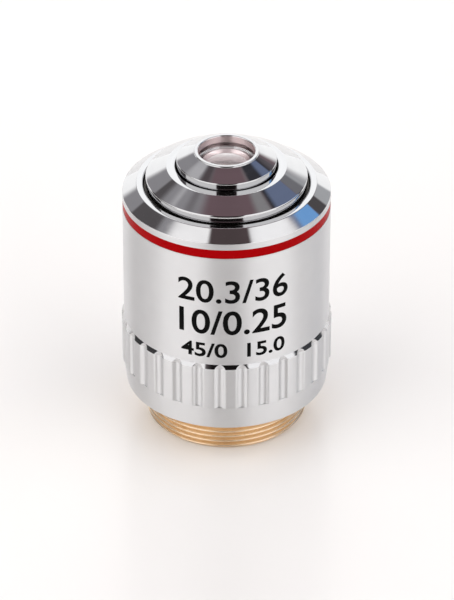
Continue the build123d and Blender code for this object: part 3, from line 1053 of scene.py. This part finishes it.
# %% Thread tree
thread_inputs = {
    **lathe_inputs,
    "Pitch": ("Float", thread_pitch),
    "Depth": ("Float", thread_depth),
    "Crest radius": ("Float", thread_radius),
    "Start": ("Float", mount_low),
    "End": ("Float", thread_end),
    "Chamfer": ("Float", thread_chamfer),
    "Relief radius": ("Float", relief_radius),
    "Rows": ("Int", thread_rows),
}


def cut_thread(tree, given):
    """Nodes that lay a grid round the helix and join the turned section to it."""
    calc = partial(maths, tree)
    start, crest_radius, rows = given["Start"], given["Crest radius"], given["Rows"]
    grid = add(tree, "GeometryNodeMeshGrid", Size_X=1.0, Size_Y=1.0,
               Vertices_X=calc("ADD", given["Steps"], 1.0), Vertices_Y=rows)
    x, y, _ = split(tree, add(tree, "GeometryNodeInputPosition").outputs[0])
    turned_by = calc("ADD", x, 0.5)
    row = calc("MULTIPLY", calc("ADD", y, 0.5), calc("SUBTRACT", rows, 1.0))
    # Height of the row on the helix, started over a pitch low so that every column is covered
    first_turns = calc("SUBTRACT", calc("DIVIDE", row, float(rows_per_pitch)), turns_over)
    climbed = calc("ADD", first_turns, turned_by)
    helix_height = calc("MULTIPLY_ADD", climbed, given["Pitch"], start)
    height = calc("MINIMUM", calc("MAXIMUM", helix_height, start), given["End"])
    risen = calc("SUBTRACT", height, start)
    # Position within one turn of the thread, 0 on a crest and 1 in a root, with flat tops
    phase = calc("SUBTRACT", calc("DIVIDE", risen, given["Pitch"]), turned_by)
    wave = calc("MULTIPLY", calc("PINGPONG", phase, 0.5), 2.0)
    groove = ramp(tree, wave, crest_flat, root_flat, smooth=True)
    # The chamfer cuts the crests at the start, and the last row drops into the relief
    threaded = calc("SUBTRACT", crest_radius, calc("MULTIPLY", groove, given["Depth"]))
    chamfered = calc("ADD", calc("SUBTRACT", crest_radius, given["Chamfer"]), risen)
    last = calc("GREATER_THAN", row, calc("SUBTRACT", rows, 1.5))
    radius = mix(tree, last, calc("MINIMUM", threaded, chamfered), given["Relief radius"])
    angle = calc("MULTIPLY", turned_by, math.tau)
    moved = add(tree, "ShaderNodeCombineXYZ", X=calc("MULTIPLY", radius, calc("COSINE", angle)),
                Y=calc("MULTIPLY", radius, calc("SINE", angle)), Z=height)
    thread = add(tree, "GeometryNodeSetPosition", Geometry=grid.outputs[0], Position=moved.outputs[0])
    joined = add(tree, "GeometryNodeJoinGeometry")
    tree.links.new(thread.outputs[0], joined.inputs[0])
    tree.links.new(turn(tree, given), joined.inputs[0])
    return joined.outputs[0]


threaded_mount = piece_tree("threaded mount", thread_inputs, cut_thread)

# %% Threaded mount piece
mount_section = draw_section([
    (relief_radius, thread_end),
    (relief_radius, ring_low),
    (mount_radius, ring_low, flange_round),
    (mount_radius, flange_top),
    (neck_radius, flange_top),
    (neck_radius, mount_top - thread_chamfer),
    (neck_radius - thread_chamfer, mount_top),
    (tail_bore, mount_top),
    (tail_bore, web_top),
    (rear_bore - baffle_seat, web_top),
    (rear_bore - baffle_seat, baffle_top),
    (rear_bore, baffle_top),
    (rear_bore, thread_chamfer),
    (rear_bore + thread_chamfer, mount_low),
    (thread_radius - thread_chamfer, mount_low),
], closed=False)
mount_mesh = shape(threaded_mount, mount_section, Steps=thread_columns, Finish=brass)
stand_in("threaded_mount_cut", mount_mesh, "brass", "threaded_mount")

# %% [markdown]
# ## Glasses
# A lens face is a piece of a sphere, so its section is an arc worked out from its radius of
# curvature, with more points than any other section: glass both mirrors and bends light,
# and a coarse arc would show as rings. Both front glasses are domed above and hollow below,
# with a flat seat round the hollow.

# %% Front glasses
lens_rows = 28
lens_steps = 192
front_seat = 3.7 * mm


def sag(curve, radius):
    """How far a sphere falls away from its vertex at a distance from the axis."""
    return curve - math.sqrt(curve**2 - radius**2)


def sphere_face(vertex, curve, rim):
    """Section points of a spherical face, from the axis to the rim."""
    radii = [rim * step / lens_rows for step in range(lens_rows + 1)]
    return [(radius, vertex - sag(curve, radius)) for radius in radii]


def front_glass(name, node, dome, hollow, material):
    """A glass from the radii of curvature of its domed face and of its hollow one."""
    _, low, high = reach(node)
    top_face = sphere_face(high, dome, front_glass_radius)
    low_face = sphere_face(low + sag(hollow, front_seat), hollow, front_seat)
    section = draw_section([*top_face, (front_glass_radius, low_face[-1][1]), *reversed(low_face)],
                           closed=False)
    mesh = shape(lathe, section, Steps=lens_steps, Finish=material)
    stand_in(name, mesh, "coated_glass", node)


front_glass("front_lens_ground", "front_lens",
            dome=11.0 * mm, hollow=12.0 * mm, material=coated_glass)
front_glass("front_meniscus_ground", "front_meniscus",
            dome=10.0 * mm, hollow=14.0 * mm, material=inner_glass)

# %% [markdown]
# ## The pieces inside
# These keep their CAD meshes. Only their finish changes, by the name of the piece.

# %% Finish the CAD pieces
inside_finishes = [
    (matt_black, ("rear_baffle", "front_spacer", "front_lens_ring", "upper_spacer",
                  "aperture_stop", "lower_spacer", "rear_lens_ring")),
    (blackened_brass, ("body_tube", "lens_barrel")),
    (screw_steel, ("centring_screws",)),
    (brass, ("parfocal_shim",)),
    (coated_glass, ("lower_crown",)),
    (optical_glass, ("upper_crown", "upper_flint", "lower_flint")),
]
for material, node_names in inside_finishes:
    for node_name in node_names:
        for material_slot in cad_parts[node_name].material_slots:
            material_slot.material = material
    print(f"{material.name}: {len(node_names)} CAD pieces")

# %% [markdown]
# ## Markings
# The barrel of an objective carries its figures, engraved and filled with black. Here they
# are plain numbers. Each line is set as text, turned into a mesh, sliced into narrow
# strips so that it can bend, given a thickness, and wrapped round the sleeve. A row gives
# the figures, the height of their foot, how high and how wide the line is, and how much
# its strokes are thickened.

# %% Wrap the figures
marking_angle = math.radians(4.0)
marking_proud = 0.012 * mm
marking_thickness = 0.03 * mm
strip_width = 0.35 * mm
letter_steps = 6
marking_lines = {
    "marking_upper": ("20.3/36", 23.8 * mm, 3.2 * mm, 14.2 * mm, 0.012),
    "marking_middle": ("10/0.25", 19.2 * mm, 3.4 * mm, 13.9 * mm, 0.014),
    "marking_lower": ("45/0  15.0", 15.8 * mm, 2.0 * mm, 13.4 * mm, 0.022),
}


def letter_mesh(words, weight):
    """Flat mesh of a line of figures, at a text size of 1, centred across."""
    curve = bpy.data.curves.new("figures", "FONT")
    curve.body = words
    curve.offset = weight
    curve.align_x = "CENTER"
    curve.resolution_u = letter_steps
    return plain_mesh(place_object("figures", curve))


def wrapped_marking(name, words, foot, cap_height, width, weight):
    form = bmesh.new()
    form.from_mesh(letter_mesh(words, weight))
    xs = [v.co.x for v in form.verts]
    top = max(v.co.y for v in form.verts)
    middle = (min(xs) + max(xs)) / 2
    across = width / (max(xs) - min(xs))
    for vertex in form.verts:
        vertex.co.x = (vertex.co.x - middle) * across
        vertex.co.y *= cap_height / top
    bmesh.ops.remove_doubles(form, verts=form.verts, dist=weld)
    cuts = int(width / strip_width)
    for index in range(1, cuts):
        at = (index / cuts - 0.5) * width
        everything = [*form.verts, *form.edges, *form.faces]
        bmesh.ops.bisect_plane(form, geom=everything, plane_co=(at, 0, 0), plane_no=(1, 0, 0))
    thick = bmesh.ops.extrude_face_region(form, geom=form.faces[:])
    for item in thick["geom"]:
        if isinstance(item, bmesh.types.BMVert):
            item.co.z += marking_thickness
    for vertex in form.verts:
        angle = vertex.co.x / sleeve_radius + marking_angle
        radius = sleeve_radius + marking_proud - marking_thickness + vertex.co.z
        vertex.co = (radius * math.sin(angle), -radius * math.cos(angle), foot + vertex.co.y)
    bmesh.ops.recalc_face_normals(form, faces=form.faces)
    mesh = bpy.data.meshes.new(name)
    form.to_mesh(mesh)
    form.free()
    mesh.materials.append(marking_black)
    stand_in(name, mesh, "blackened_brass")


for line_name, line in marking_lines.items():
    wrapped_marking(line_name, *line)
